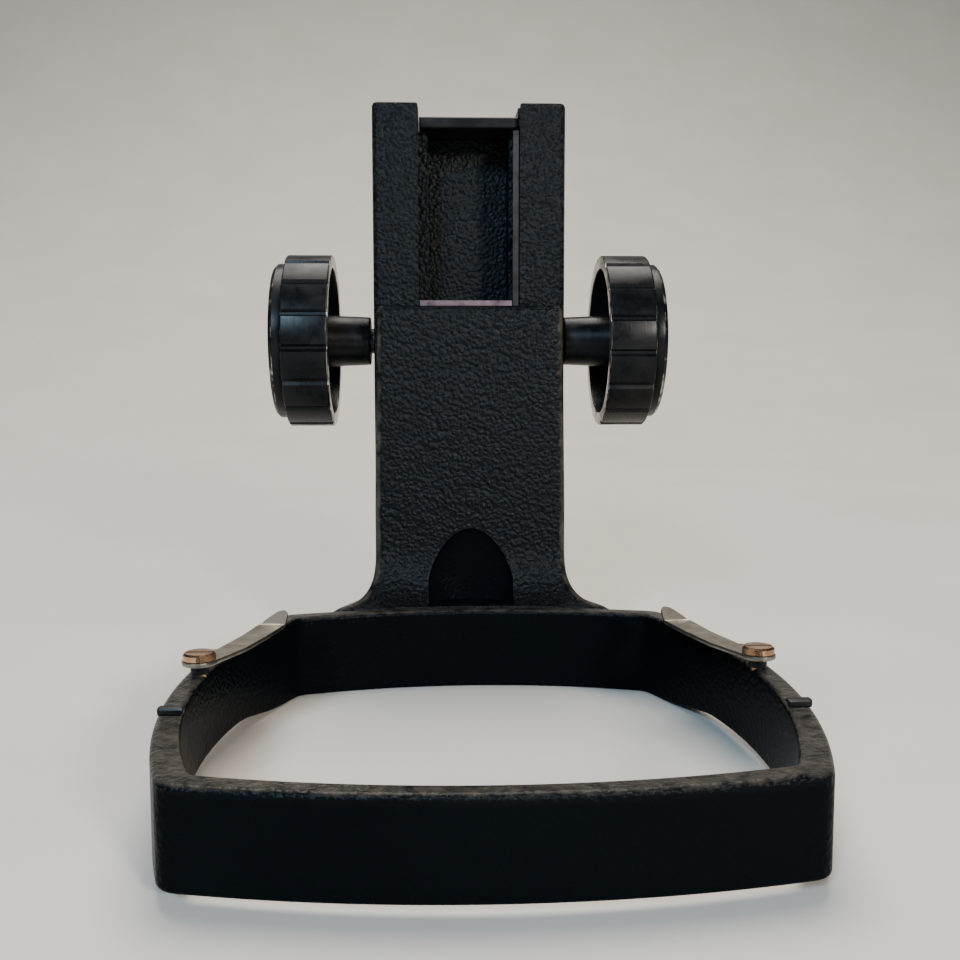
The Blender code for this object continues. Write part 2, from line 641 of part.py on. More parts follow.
def build_rack(parent):
    """The toothed rack in the slide's groove, and its three screws."""
    pitch = math.pi * MODULE
    root = RACK_BACK
    tip = AXIS_Y - PITCH_RADIUS + ADDENDUM
    outline = [(face_y(RACK_FRONT), RACK_HIGH_Z), (face_y(RACK_FRONT), RACK_LOW_Z),
               (face_y(root), RACK_LOW_Z)]
    count = int((AXIS_Z - RACK_LOW_Z) / pitch)
    middle = AXIS_Z - (count - 0.5) * pitch
    while middle + TOOTH_ROOT / 2.0 < RACK_HIGH_Z:
        outline.append((face_y(root), middle - TOOTH_ROOT / 2.0))
        outline.append((face_y(tip), middle - TOOTH_TIP / 2.0))
        outline.append((face_y(tip), middle + TOOTH_TIP / 2.0))
        outline.append((face_y(root), middle + TOOTH_ROOT / 2.0))
        middle += pitch
    outline.append((face_y(root), RACK_HIGH_Z))
    rack = make_prism("focus_rack", outline, -RACK_HALF, RACK_HALF, "X")
    over = MM
    holes = [((0.0, face_y(RACK_FRONT - over), z), (0.0, face_y(tip + over), z))
             for z in RACK_SCREW_Z]
    cut(rack, make_cylinders("rack_hole_cutter", RACK_SCREW_RADIUS + GAP, holes, 16))
    sink_floor = RACK_FRONT + 1.5 * MM
    sinks = [((0.0, face_y(sink_floor), z), (0.0, face_y(tip + over), z)) for z in RACK_SCREW_Z]
    cut(rack, make_cylinders("rack_sink_cutter", RACK_HEAD_RADIUS + GAP, sinks, 20))
    link_part(rack, BRASS, parent)

    seat = sink_floor + GAP
    profile = screw_profile(RACK_HEAD_RADIUS, root - seat, RACK_SCREW_RADIUS, seat - 0.6 * MM)
    for number, z in enumerate(RACK_SCREW_Z, 1):
        screw = make_turned(f"rack_screw_{number}", profile, 20, closed=False)
        screw.rotation_euler = FACING_BACK
        screw.location = (0.0, face_y(seat), z)
        link_part(screw, STEEL, parent)


def build_rim_fittings(way, side, parent):
    """The locating lug, the clip's spacer post and the clip's screw on one side of the rim."""
    x = way * LUG_X
    y = face_y(LUG_Y)
    lug = make_box("rim_lug_" + side,
                   (x - LUG_HALF_LENGTH, y - LUG_HALF_WIDTH, RIM_Z + GAP),
                   (x + LUG_HALF_LENGTH, y + LUG_HALF_WIDTH, RIM_Z + LUG_HEIGHT))
    round_edges(lug, 0.5 * MM, 2)
    link_part(lug, BLACK_METAL, parent)

    place = (way * CLIP_X, face_y(CLIP_Y), RIM_Z)
    hole = SCREW_SHANK_RADIUS + 0.2 * MM
    low = 0.2 * MM
    post = make_turned("clip_post_" + side,
                       [(POST_RADIUS, POST_HEIGHT), (POST_RADIUS, low), (hole, low),
                        (hole, POST_HEIGHT)], 24)
    post.location = place
    link_part(post, BLACK_METAL, parent)

    seat = POST_HEIGHT + CLIP_THICKNESS + 2.0 * CLIP_GAP
    top = seat + SCREW_HEAD_HEIGHT
    edge = 0.4 * MM
    profile = [(0.0, top), (SCREW_HEAD_RADIUS - edge, top), (SCREW_HEAD_RADIUS, top - edge),
               (SCREW_HEAD_RADIUS, seat), (SCREW_SHANK_RADIUS, seat),
               (SCREW_SHANK_RADIUS, -CLIP_SCREW_DEPTH), (0.0, -CLIP_SCREW_DEPTH)]
    screw = make_turned("clip_screw_" + side, profile, 28, closed=False)
    screw.location = place
    cut(screw, slot_cutter("clip_slot_" + side, place[0], place[1], RIM_Z + top, 4.0 * MM))
    link_part(screw, BRASS, parent)


# --- Spring clips: each swivels on its screw -----------------------------------------------------

def clip_outline(way):
    """The flat clip's outline around its screw: a round end, a shoulder and a tapering arm."""
    spots = [(-3.4, 2.1), (-3.6, 5.2), (-2.4, 7.4), (1.8, 8.6), (4.8, 19.0), (7.1, 31.6),
             (13.3, 30.2), (10.9, 20.0), (8.2, 10.0), (4.8, 1.6)]
    turns = np.linspace(math.radians(-15.0), math.radians(-205.0), 13)
    points = [(x * MM, y * MM) for x, y in spots]
    points += [(CLIP_HUB_RADIUS * math.cos(t), CLIP_HUB_RADIUS * math.sin(t)) for t in turns]
    return [(-way * x, y) for x, y in points]


def build_clip(way, side, parent):
    """The flat arm on its screw, with the end bent up to a rounded tip."""
    bottom = RIM_Z + POST_HEIGHT + CLIP_GAP
    shape = bmesh.new()
    verts = [shape.verts.new((x, y, 0.0)) for x, y in clip_outline(way)]
    face = shape.faces.new(verts)
    bend_a, bend_b = verts[5], verts[6]
    bmesh.ops.recalc_face_normals(shape, faces=[face])

    along = Vector((-way * CLIP_SLANT, 1.0, 0.0)).normalized()
    lift = along * math.cos(CLIP_TIP_RISE) + Vector((0.0, 0.0, math.sin(CLIP_TIP_RISE)))
    middle = (bend_a.co + bend_b.co) / 2.0
    across = (bend_b.co - bend_a.co) / 2.0
    tip = [shape.verts.new(middle + across * aside + lift * (CLIP_TIP_LENGTH * reach))
           for aside, reach in CLIP_TIP_SPOTS]
    shape.faces.new([bend_a, bend_b] + tip)
    item = object_from_bmesh("clip_" + side, shape)
    for polygon in item.data.polygons:
        if polygon.normal.z < 0.0:
            item.data.flip_normals()
            break
    item.location = (way * CLIP_X, face_y(CLIP_Y), bottom)
    thick = item.modifiers.new("thickness", "SOLIDIFY")
    thick.thickness = CLIP_THICKNESS
    thick.offset = 1.0
    thick.use_even_offset = True
    hole = (item.location - Vector((0.0, 0.0, MM)), item.location + Vector((0.0, 0.0, 3.0 * MM)))
    cut(item, make_cylinders("clip_hole_" + side, SCREW_SHANK_RADIUS + 0.2 * MM, [hole], 24))
    link_part(item, NICKEL, parent)


# --- Pinion, shaft and knobs: turn together ------------------------------------------------------

def build_pinion(parent):
    """The pinion's shaft and its toothed wheel."""
    left = KNOB_RIM_LEFT + KNOB_SKIRT - 1.0 * MM
    right = KNOB_RIM_RIGHT + KNOB_SKIRT - 1.0 * MM
    run = ((-left, face_y(AXIS_Y), AXIS_Z), (right, face_y(AXIS_Y), AXIS_Z))
    shaft = make_cylinders("pinion_shaft", SHAFT_RADIUS, [run], 32)
    shade_round(shaft)
    link_part(shaft, BLACK_METAL, parent)

    outline = []
    tip = PITCH_RADIUS + ADDENDUM
    root = PITCH_RADIUS - DEDENDUM + 0.1 * MM
    for tooth in range(PINION_TEETH):
        middle = math.pi + 2.0 * math.pi * tooth / PINION_TEETH
        for radius, width, sign in ((root, TOOTH_ROOT, -1), (tip, TOOTH_TIP, -1),
                                    (tip, TOOTH_TIP, 1), (root, TOOTH_ROOT, 1)):
            turn = middle + sign * width / (2.0 * radius)
            outline.append((face_y(AXIS_Y) + radius * math.cos(turn),
                            AXIS_Z + radius * math.sin(turn)))
    pinion = make_prism("pinion_gear", outline, -PINION_LENGTH / 2.0, PINION_LENGTH / 2.0, "X")
    bore = ((-PINION_LENGTH, face_y(AXIS_Y), AXIS_Z), (PINION_LENGTH, face_y(AXIS_Y), AXIS_Z))
    cut(pinion, make_cylinders("pinion_bore", SHAFT_RADIUS + 0.05 * MM, [bore], 32))
    link_part(pinion, BRASS, parent)


def build_knob(way, side, rim, hub_start, parent):
    """One knob: hub, web and grooved skirt in one turned piece, its cap and its set screw."""
    axis = (0.0, face_y(AXIS_Y), AXIS_Z)
    bore = SHAFT_RADIUS + RUNNING_GAP
    hub = hub_start - rim
    web = KNOB_SKIRT - KNOB_WEB
    edge = 0.5 * MM
    profile = [(KNOB_RADIUS - edge, KNOB_SKIRT), (KNOB_RADIUS, KNOB_SKIRT - edge),
               (KNOB_RADIUS, edge), (KNOB_RADIUS - edge, 0.0), (KNOB_INNER + edge, 0.0),
               (KNOB_INNER, edge), (KNOB_INNER, web), (HUB_RADIUS, web),
               (HUB_END_RADIUS, hub + edge), (HUB_END_RADIUS - edge, hub),
               (bore, hub), (bore, KNOB_SKIRT)]
    knob = make_turned("knob_" + side, profile, 64)
    turn = (0.0, way * math.pi / 2.0, 0.0)
    knob.rotation_euler = turn
    knob.location = (way * rim, axis[1], axis[2])

    shape = bmesh.new()
    for number in range(GROOVE_COUNT):
        angle = 2.0 * math.pi * (number + 0.5) / GROOVE_COUNT
        size = Matrix.Diagonal((4.0 * MM, GROOVE_WIDTH, 2.0 * KNOB_SKIRT, 1.0))
        middle = Matrix.Translation((KNOB_RADIUS - GROOVE_DEPTH + 2.0 * MM, 0.0, KNOB_SKIRT / 2.0))
        placing = Matrix.Rotation(angle, 4, "Z") @ middle @ size
        bmesh.ops.create_cube(shape, size=1.0, matrix=placing)
    grooves = object_from_bmesh("grooves_" + side, shape)
    grooves.rotation_euler = turn
    grooves.location = knob.location
    cut(knob, grooves)
    outside = knob.location.copy()

    screw_x = way * (hub_start + 4.0 * MM)
    centre = Vector((screw_x, axis[1], axis[2]))
    back = Vector((0.0, 1.0, 0.0))
    hole = (centre + back * 3.0 * MM, centre + back * 9.0 * MM)
    cut(knob, make_cylinders("set_screw_hole_" + side, 1.6 * MM, [hole], 16))
    link_part(knob, BLACK_METAL, parent)

    low = KNOB_SKIRT + GAP
    high = low + CAP_THICKNESS
    cap_profile = [(0.0, high), (CAP_RADIUS - CAP_CHAMFER, high), (CAP_RADIUS, high - CAP_CHAMFER),
                   (CAP_RADIUS, low), (0.0, low)]
    cap = make_turned("knob_cap_" + side, cap_profile, 64, closed=False)
    cap.rotation_euler = turn
    cap.location = outside
    link_part(cap, BLACK_METAL, parent)

    run = (centre + back * 3.8 * MM, centre + back * 6.6 * MM)
    link_part(make_cylinders("knob_set_screw_" + side, 1.3 * MM, [run], 16), STEEL, parent)


def build_washer(parent):
    """The spring washer that gives the drive its drag, between the housing and the right hub."""
    low = 0.1 * MM
    thick = 0.5 * MM
    profile = [(6.0 * MM, low + thick), (6.0 * MM, low), (3.7 * MM, low), (3.7 * MM, low + thick)]
    washer = make_turned("tension_washer", profile, 32)
    washer.rotation_euler = (0.0, math.pi / 2.0, 0.0)
    washer.location = (HOUSING_WIDTH / 2.0, face_y(AXIS_Y), AXIS_Z)
    link_part(washer, STEEL, parent)


build_housing()
build_stop_plate()
build_gib()
build_bushes()

CARRIAGE = make_empty("yoke_carriage", (0.0, FACE_Y, AXIS_Z))
build_yoke(CARRIAGE)
build_dovetail(CARRIAGE)
build_rack(CARRIAGE)
for WAY, SIDE in ((-1.0, "left"), (1.0, "right")):
    build_rim_fittings(WAY, SIDE, CARRIAGE)
    PIVOT = make_empty("clip_pivot_" + SIDE, (WAY * CLIP_X, face_y(CLIP_Y), RIM_Z))
    build_clip(WAY, SIDE, PIVOT)

DRIVE = make_empty("drive_axis", (0.0, face_y(AXIS_Y), AXIS_Z))
build_pinion(DRIVE)
build_knob(-1.0, "left", KNOB_RIM_LEFT, HUB_START_LEFT, DRIVE)
build_knob(1.0, "right", KNOB_RIM_RIGHT, HUB_START_RIGHT, DRIVE)
build_washer(DRIVE)
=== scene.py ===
import json
import math

import bmesh
import bpy
import numpy as np
from mathutils import Euler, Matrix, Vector


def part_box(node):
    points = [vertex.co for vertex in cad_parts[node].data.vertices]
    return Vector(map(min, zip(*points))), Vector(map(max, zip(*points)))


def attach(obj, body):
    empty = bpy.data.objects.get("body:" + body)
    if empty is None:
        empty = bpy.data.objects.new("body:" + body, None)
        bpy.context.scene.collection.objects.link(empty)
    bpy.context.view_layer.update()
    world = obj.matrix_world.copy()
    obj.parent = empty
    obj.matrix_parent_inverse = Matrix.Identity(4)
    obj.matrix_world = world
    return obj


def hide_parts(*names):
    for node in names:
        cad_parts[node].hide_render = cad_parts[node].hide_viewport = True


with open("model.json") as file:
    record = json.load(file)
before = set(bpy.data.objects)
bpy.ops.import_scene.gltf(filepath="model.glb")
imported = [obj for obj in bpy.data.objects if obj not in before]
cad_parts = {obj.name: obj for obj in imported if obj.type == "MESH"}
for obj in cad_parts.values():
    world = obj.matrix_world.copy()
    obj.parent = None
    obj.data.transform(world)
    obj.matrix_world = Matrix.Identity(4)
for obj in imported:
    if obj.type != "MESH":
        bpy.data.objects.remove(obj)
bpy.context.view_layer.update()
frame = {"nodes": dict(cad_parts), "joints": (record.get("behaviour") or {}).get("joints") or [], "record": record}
record = frame["record"]
nodes_of = frame["nodes"]
MM = 0.001

# ---------------------------------------------------------------------------------------------
# The focus housing: an aluminium casting milled with a dovetail channel down its front.
# It is sprayed with black wrinkle enamel and baked, so the paint stands in small rounded lumps,
# and handling has thinned it to a brownish grey along the arrises.

RAIL_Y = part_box("focus_housing")[0].y      # the rails' front face


def wrinkle_paint(name, shade, lumps, gloss):
    """Black wrinkle enamel: rounded cells bent by noise for height, worn along marked edges, and duller where
    marked dull, which paints shade.
    """
    material = bpy.data.materials.new(name)
    material.use_nodes = True
    nodes, links = material.node_tree.nodes, material.node_tree.links
    nodes.clear()

    lay_frame = nodes.new("NodeFrame")
    lay_frame.label = "how the enamel dried"
    tone_frame = nodes.new("NodeFrame")
    tone_frame.label = "age and wear"
    place = nodes.new("ShaderNodeTexCoord")
    place.label = "position on the casting"
    drift = nodes.new("ShaderNodeTexNoise")
    drift.label = "drift that breaks up the cells"
    drift.inputs["Scale"].default_value = lumps * 0.55
    drift.inputs["Detail"].default_value = 2.0
    bend = nodes.new("ShaderNodeVectorMath")
    bend.label = "size of the drift"
    bend.operation = "SCALE"
    bend.inputs["Scale"].default_value = 0.9 / lumps
    moved = nodes.new("ShaderNodeVectorMath")
    moved.label = "cells moved by the drift"
    moved.operation = "ADD"
    cells = nodes.new("ShaderNodeTexVoronoi")
    cells.label = "lumps of the wrinkle"
    cells.feature = "SMOOTH_F1"
    cells.inputs["Scale"].default_value = lumps
    cells.inputs["Smoothness"].default_value = 0.55
    peel = nodes.new("ShaderNodeTexNoise")
    peel.label = "orange peel between them"
    peel.inputs["Scale"].default_value = lumps * 2.6
    peel.inputs["Detail"].default_value = 3.0
    height = nodes.new("ShaderNodeMath")
    height.label = "lumps and peel together"
    height.operation = "MULTIPLY_ADD"
    height.inputs[1].default_value = 0.45
    relief = nodes.new("ShaderNodeBump")
    relief.label = "relief of the paint"
    relief.invert = True
    relief.inputs["Distance"].default_value = 0.00044

    cloud = nodes.new("ShaderNodeTexNoise")
    cloud.label = "handled and dusty patches"
    cloud.inputs["Scale"].default_value = 26.0
    cloud.inputs["Detail"].default_value = 4.0
    sheen = nodes.new("ShaderNodeMapRange")
    sheen.label = "satin to semi-gloss"
    sheen.inputs["From Min"].default_value = 0.3
    sheen.inputs["From Max"].default_value = 0.7
    sheen.inputs["To Min"].default_value = gloss
    sheen.inputs["To Max"].default_value = gloss + 0.12
    marks = nodes.new("ShaderNodeAttribute")
    marks.label = "edges that hands rub"
    marks.attribute_name = "rubbed"
    # painted shade: where a piece is marked dull (the ring and the scoop) the enamel reflects less and its lumps
    # are flatter, so that those parts read darker
    shade_mark = nodes.new("ShaderNodeAttribute")
    shade_mark.label = "painted shade: duller enamel"
    shade_mark.attribute_name = "dull"
    level = nodes.new("ShaderNodeMath")
    level.label = "rubbed or thin"
    level.operation = "MAXIMUM"
    gleam = nodes.new("ShaderNodeMapRange")
    gleam.label = "dull enamel reflects less"
    gleam.inputs["To Min"].default_value = 0.10
    gleam.inputs["To Max"].default_value = 0.015
    smoothed = nodes.new("ShaderNodeMapRange")
    smoothed.label = "rubbing levels the lumps"
    smoothed.inputs["To Min"].default_value = 0.85
    smoothed.inputs["To Max"].default_value = 0.35
    grit = nodes.new("ShaderNodeTexNoise")
    grit.label = "uneven rubbing"
    grit.inputs["Scale"].default_value = 340.0
    grit.inputs["Detail"].default_value = 5.0
    rubbed = nodes.new("ShaderNodeMath")
    rubbed.label = "rubbing along the edges"
    rubbed.operation = "MULTIPLY"
    bared = nodes.new("ShaderNodeMapRange")
    bared.label = "where the paint has thinned"
    bared.inputs["From Min"].default_value = 0.26
    bared.inputs["From Max"].default_value = 0.60
    flecks = nodes.new("ShaderNodeTexNoise")
    flecks.label = "small chips and dust"
    flecks.inputs["Scale"].default_value = 150.0
    flecks.inputs["Detail"].default_value = 1.0
    chipped = nodes.new("ShaderNodeMapRange")
    chipped.label = "only the few deepest chips"
    chipped.inputs["From Min"].default_value = 0.83
    chipped.inputs["From Max"].default_value = 0.85
    aged = nodes.new("ShaderNodeMix")
    aged.label = "enamel, greyer where dusty"
    aged.data_type = "RGBA"
    aged.inputs["A"].default_value = (*shade, 1.0)
    aged.inputs["B"].default_value = (shade[0] * 1.9, shade[1] * 1.8, shade[2] * 1.6, 1.0)
    thinned = nodes.new("ShaderNodeMix")
    thinned.label = "brownish undercoat on the edges"
    thinned.data_type = "RGBA"
    thinned.inputs["B"].default_value = (0.056, 0.047, 0.037, 1.0)
    spotted = nodes.new("ShaderNodeMix")
    spotted.label = "pale chips"
    spotted.data_type = "RGBA"
    spotted.inputs["B"].default_value = (0.34, 0.31, 0.27, 1.0)
    enamel = nodes.new("ShaderNodeBsdfPrincipled")
    enamel.label = "black wrinkle enamel"
    output = nodes.new("ShaderNodeOutputMaterial")
    output.label = "surface"

    for node in (drift, bend, moved, cells, peel, height, relief):
        node.parent = lay_frame
    for node in (cloud, sheen, marks, shade_mark, level, gleam, smoothed, grit, rubbed, bared, flecks,
                 chipped, aged, thinned, spotted):
        node.parent = tone_frame
    columns = ((place,), (drift, cloud, marks, grit, flecks, shade_mark),
               (bend, rubbed, chipped, level, gleam),
               (moved, sheen, bared, smoothed), (cells, peel, aged), (height, thinned), (relief,
               spotted),
               (enamel,), (output,))
    for column, members in enumerate(columns):
        for row, node in enumerate(members):
            node.location = (column * 240 - 1000, 300 - row * 260)

    for node in (drift, peel, cloud, grit, flecks):
        links.new(place.outputs["Object"], node.inputs["Vector"])
    links.new(drift.outputs["Color"], bend.inputs[0])
    links.new(place.outputs["Object"], moved.inputs[0])
    links.new(bend.outputs["Vector"], moved.inputs[1])
    links.new(moved.outputs["Vector"], cells.inputs["Vector"])
    links.new(peel.outputs["Fac"], height.inputs[0])
    links.new(cells.outputs["Distance"], height.inputs[2])
    links.new(height.outputs["Value"], relief.inputs["Height"])
    links.new(marks.outputs["Fac"], level.inputs[0])
    links.new(shade_mark.outputs["Fac"], level.inputs[1])
    links.new(level.outputs["Value"], smoothed.inputs["Value"])
    links.new(shade_mark.outputs["Fac"], gleam.inputs["Value"])
    links.new(gleam.outputs["Result"], enamel.inputs["Specular IOR Level"])
    links.new(smoothed.outputs["Result"], relief.inputs["Strength"])
    links.new(cloud.outputs["Fac"], sheen.inputs["Value"])
    links.new(cloud.outputs["Fac"], aged.inputs["Factor"])
    links.new(marks.outputs["Fac"], rubbed.inputs[0])
    links.new(grit.outputs["Fac"], rubbed.inputs[1])
    links.new(rubbed.outputs["Value"], bared.inputs["Value"])
    links.new(flecks.outputs["Fac"], chipped.inputs["Value"])
    links.new(aged.outputs["Result"], thinned.inputs["A"])
    links.new(bared.outputs["Result"], thinned.inputs["Factor"])
    links.new(thinned.outputs["Result"], spotted.inputs["A"])
    links.new(chipped.outputs["Result"], spotted.inputs["Factor"])
    links.new(spotted.outputs["Result"], enamel.inputs["Base Color"])
    links.new(sheen.outputs["Result"], enamel.inputs["Roughness"])
    links.new(relief.outputs["Normal"], enamel.inputs["Normal"])
    links.new(enamel.outputs["BSDF"], output.inputs["Surface"])
    return material


housing_paint = wrinkle_paint("housing_enamel", (0.0014, 0.0021, 0.0030), 950.0, 0.27)
nodes_of["focus_housing"].data.materials.clear()
nodes_of["focus_housing"].data.materials.append(housing_paint)

# ---------------------------------------------------------------------------------------------
# The yoke: one casting of a slab, which the focus slide carries, and a four-sided ring that
# holds the microscope's head. A scoop in the foot clears the head's boss. It has the housing's
# baked enamel, rubbed along the rim and the arrises. On the ring and in the scoop the enamel is
# made duller, so that it reflects less and reads darker: this is painted shade.

YOKE_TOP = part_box("yoke_casting")[1].z
RIM_Z = next(m for m in record["mounts"] if m["name"] == "pod_seat")["pos_m"][2]
SLAB_HALF_LOW = 25.9 * MM
SLAB_HALF_TOP = 25.1 * MM
SLAB_DRAFT_Z = 45.0 * MM                    # the slab narrows from here to its top
SLAB_FACE = RAIL_Y - 5.8 * MM
SLAB_BACK = RAIL_Y - 0.4 * MM
SLAB_ARRIS = 2.0 * MM
FLARE_TOP = RIM_Z + 15.5 * MM
FLARE_SIDE = 15.0 * MM                      # how far the foot spreads sideways, at its front
FLARE_BACK_SIDE = 5.0 * MM                  # and at its back
FLARE_FRONT = 8.6 * MM
FLARE_BOW = 3.8 * MM                        # how much further it reaches at its corners
FLARE_POWER = 3.5                           # the sides spread late and tightly
SCOOP_HALF = 11.5 * MM
SCOOP_DEPTH = 3.4 * MM
SCOOP_SPRING_Z = 27.0 * MM                  # the scoop's arch springs from here
SCOOP_TOP_Z = 40.6 * MM
SCOOP_POWER = 1.3
FOOT_Z = 0.6 * MM
WALL = 4.6 * MM
BACK_CORNER = np.array((44.2 * MM, RAIL_Y - 25.0 * MM))
FRONT_CORNER = np.array((48.5 * MM, RAIL_Y - 135.0 * MM))
RISES = (11.2 * MM, 7.0 * MM, 11.2 * MM, 6.4 * MM)          # right side, back, left side, front


def bowed(start, end, rise, count):
    """A circular arc through two points, standing off the chord by rise to the right of its way."""
    half = np.linalg.norm(end - start) / 2.0
    way = (end - start) / (2.0 * half)
    side = np.array((way[1], -way[0]))
    radius = (half ** 2 + rise ** 2) / (2.0 * rise)
    turn = np.linspace(-1.0, 1.0, count)[:, None] * math.asin(half / radius)
    return (start + end) / 2.0 - side * (radius - rise) + radius * (
        side * np.cos(turn) + way * np.sin(turn))


def softened(points, radius, steps, closed):
    """A broken line with its corners rounded: each is a quadratic curve from one side to the next."""
    points = np.asarray(points, float)
    before, after = np.roll(points, 1, 0), np.roll(points, -1, 0)
    back, ahead = before - points, after - points
    back_length = np.linalg.norm(back, axis=1)
    ahead_length = np.linalg.norm(ahead, axis=1)
    reach = np.minimum(np.broadcast_to(radius, len(points)),
                       0.49 * np.minimum(back_length, ahead_length))
    start = points + back * (reach / back_length)[:, None]
    end = points + ahead * (reach / ahead_length)[:, None]
    t = np.linspace(0.0, 1.0, steps)[None, :, None]
    curve = ((1 - t) ** 2 * start[:, None] + 2 * t * (1 - t) * points[:, None]
             + t ** 2 * end[:, None])
    if not closed:
        curve[0], curve[-1] = points[0], points[-1]
    return curve.reshape(-1, points.shape[1])


def skin(name, sheets, body, crease=32.0):
    """A closed mesh of one or more grids, each rows by columns of points with rubbing, and with dulling that
    paints shade.
    Columns close on themselves. The rows of a hoop do too, and otherwise the first and last rows
    are each drawn to their own middle."""
    points, figures, faces, first = [], {"rubbed": [], "dull": []}, [], 0
    for grid, rubbed, dull, hoop in sheets:
        start = grid[-1:] if hoop else np.broadcast_to(grid[0].mean(0), grid[:1].shape)
        end = np.broadcast_to(grid[-1].mean(0), grid[:1].shape)
        rows = np.concatenate((start, grid) if hoop else (start, grid, end))
        count, around = rows.shape[:2]
        index = first + np.arange(count * around).reshape(count, around)
        beside = np.roll(index, -1, 1)
        faces.append(np.stack((index[:-1], beside[:-1], beside[1:], index[1:]), -1).reshape(-1, 4))
        points.append(rows.reshape(-1, 3))
        for figure, values in (("rubbed", rubbed), ("dull", dull)):
            figures[figure].append(np.pad(np.broadcast_to(values, grid.shape[:2]),
                                          ((1, 0 if hoop else 1), (0, 0)), "edge").ravel())
        first += count * around
    mesh = bpy.data.meshes.new(name)
    mesh.from_pydata(np.concatenate(points).tolist(), [], np.concatenate(faces).tolist())
    for figure, values in figures.items():
        mesh.attributes.new(figure, "FLOAT", "POINT").data.foreach_set(
            "value", np.concatenate(values).astype(np.float32))
    shape = bmesh.new()
    shape.from_mesh(mesh)
    bmesh.ops.remove_doubles(shape, verts=shape.verts, dist=1e-7)
    bmesh.ops.recalc_face_normals(shape, faces=shape.faces)
    shape.to_mesh(mesh)
    shape.free()
    mesh.shade_smooth()
    mesh.set_sharp_from_angle(angle=math.radians(crease))
    item = bpy.data.objects.new(name, mesh)
    bpy.context.scene.collection.objects.link(item)
    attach(item, body)
    return item


def ring_loop(grow, corner):
    """The ring's plan, grown outwards from its inner edge: four arcs with rounded corners."""
    back = BACK_CORNER + (grow, grow)
    front = FRONT_CORNER + (grow, -grow)
    mirror = np.array((-1.0, 1.0))
    ends = (front, back, back * mirror, front * mirror, front)
    sides = []
    for start, end, rise in zip(ends[:-1], ends[1:], RISES):
        side = bowed(start, end, rise, 600)
        run = np.concatenate(((0.0,), np.cumsum(np.linalg.norm(np.diff(side, axis=0), axis=1))))
        at = np.linspace(corner, run[-1] - corner, 49)
        sides.append(np.stack((np.interp(at, run, side[:, 0]), np.interp(at, run, side[:, 1])), 1))
    t = np.linspace(0.0, 1.0, 9)[1:-1, None]
    loop = []
    for side, following, point in zip(sides, sides[1:] + sides[:1], ends[1:]):
        loop += [side, (1 - t) ** 2 * side[-1] + 2 * t * (1 - t) * point + t ** 2 * following[0]]
    return np.concatenate(loop)


def ring_sheet():
    """The ring: a rounded upright rectangle carried round the plan, from its inner to outer edge."""
    inner, outer = ring_loop(0.0, 1.6 * MM), ring_loop(WALL, 2.6 * MM)
    width = np.linalg.norm(outer - inner, axis=1)[:, None]
    out = (outer - inner) / width
    depth = np.clip((RAIL_Y - 30.0 * MM - outer[:, 1]) / (25.0 * MM), 0.0, 1.0)
    low = (2.8 * MM * depth * depth * (3.0 - 2.0 * depth))[:, None]
    edge = 1.1 * MM
    turn = np.linspace(0.0, math.pi / 2.0, 6)
    wall = np.linspace(0.0, 1.0, 9)[1:-1]
    none, whole = np.zeros(6), np.ones(6)
    # each run of the section: part of the width, rounding inwards, part of the height, rounding up
    across = np.concatenate((none, none[:1].repeat(7), none, (0.33, 0.67), whole,
                             whole[:1].repeat(7), whole, (0.67, 0.33)))
    inward = np.concatenate((1 - np.sin(turn), np.zeros(7), 1 - np.cos(turn), (0, 0),
                             np.sin(turn) - 1, np.zeros(7), np.cos(turn) - 1, (0, 0)))
    upward = np.concatenate((none, wall, whole, (1, 1), whole, wall[::-1], none, (0, 0)))
    lifted = np.concatenate((1 - np.cos(turn), np.zeros(7), np.sin(turn) - 1, (0, 0),
                             np.cos(turn) - 1, np.zeros(7), 1 - np.sin(turn), (0, 0)))
    a = across * width + inward * edge
    z = low + upward * (RIM_Z - low) + lifted * edge
    plan = inner[:, None] + out[:, None] * a[..., None]
    rubbed = np.zeros(across.size)
    rubbed[13:28] = (0, .3, .6, .8, .84, .84, .84, .84, .84, .84, .8, .6, .4, .2, 0)
    # painted shade: all of the ring but its rubbed rim is marked dull, so that it reflects less and reads darker
    dull = 1.0 - np.clip(1.3 * rubbed, 0.0, 1.0)
    return np.concatenate((plan, z[..., None]), -1), rubbed, dull, True


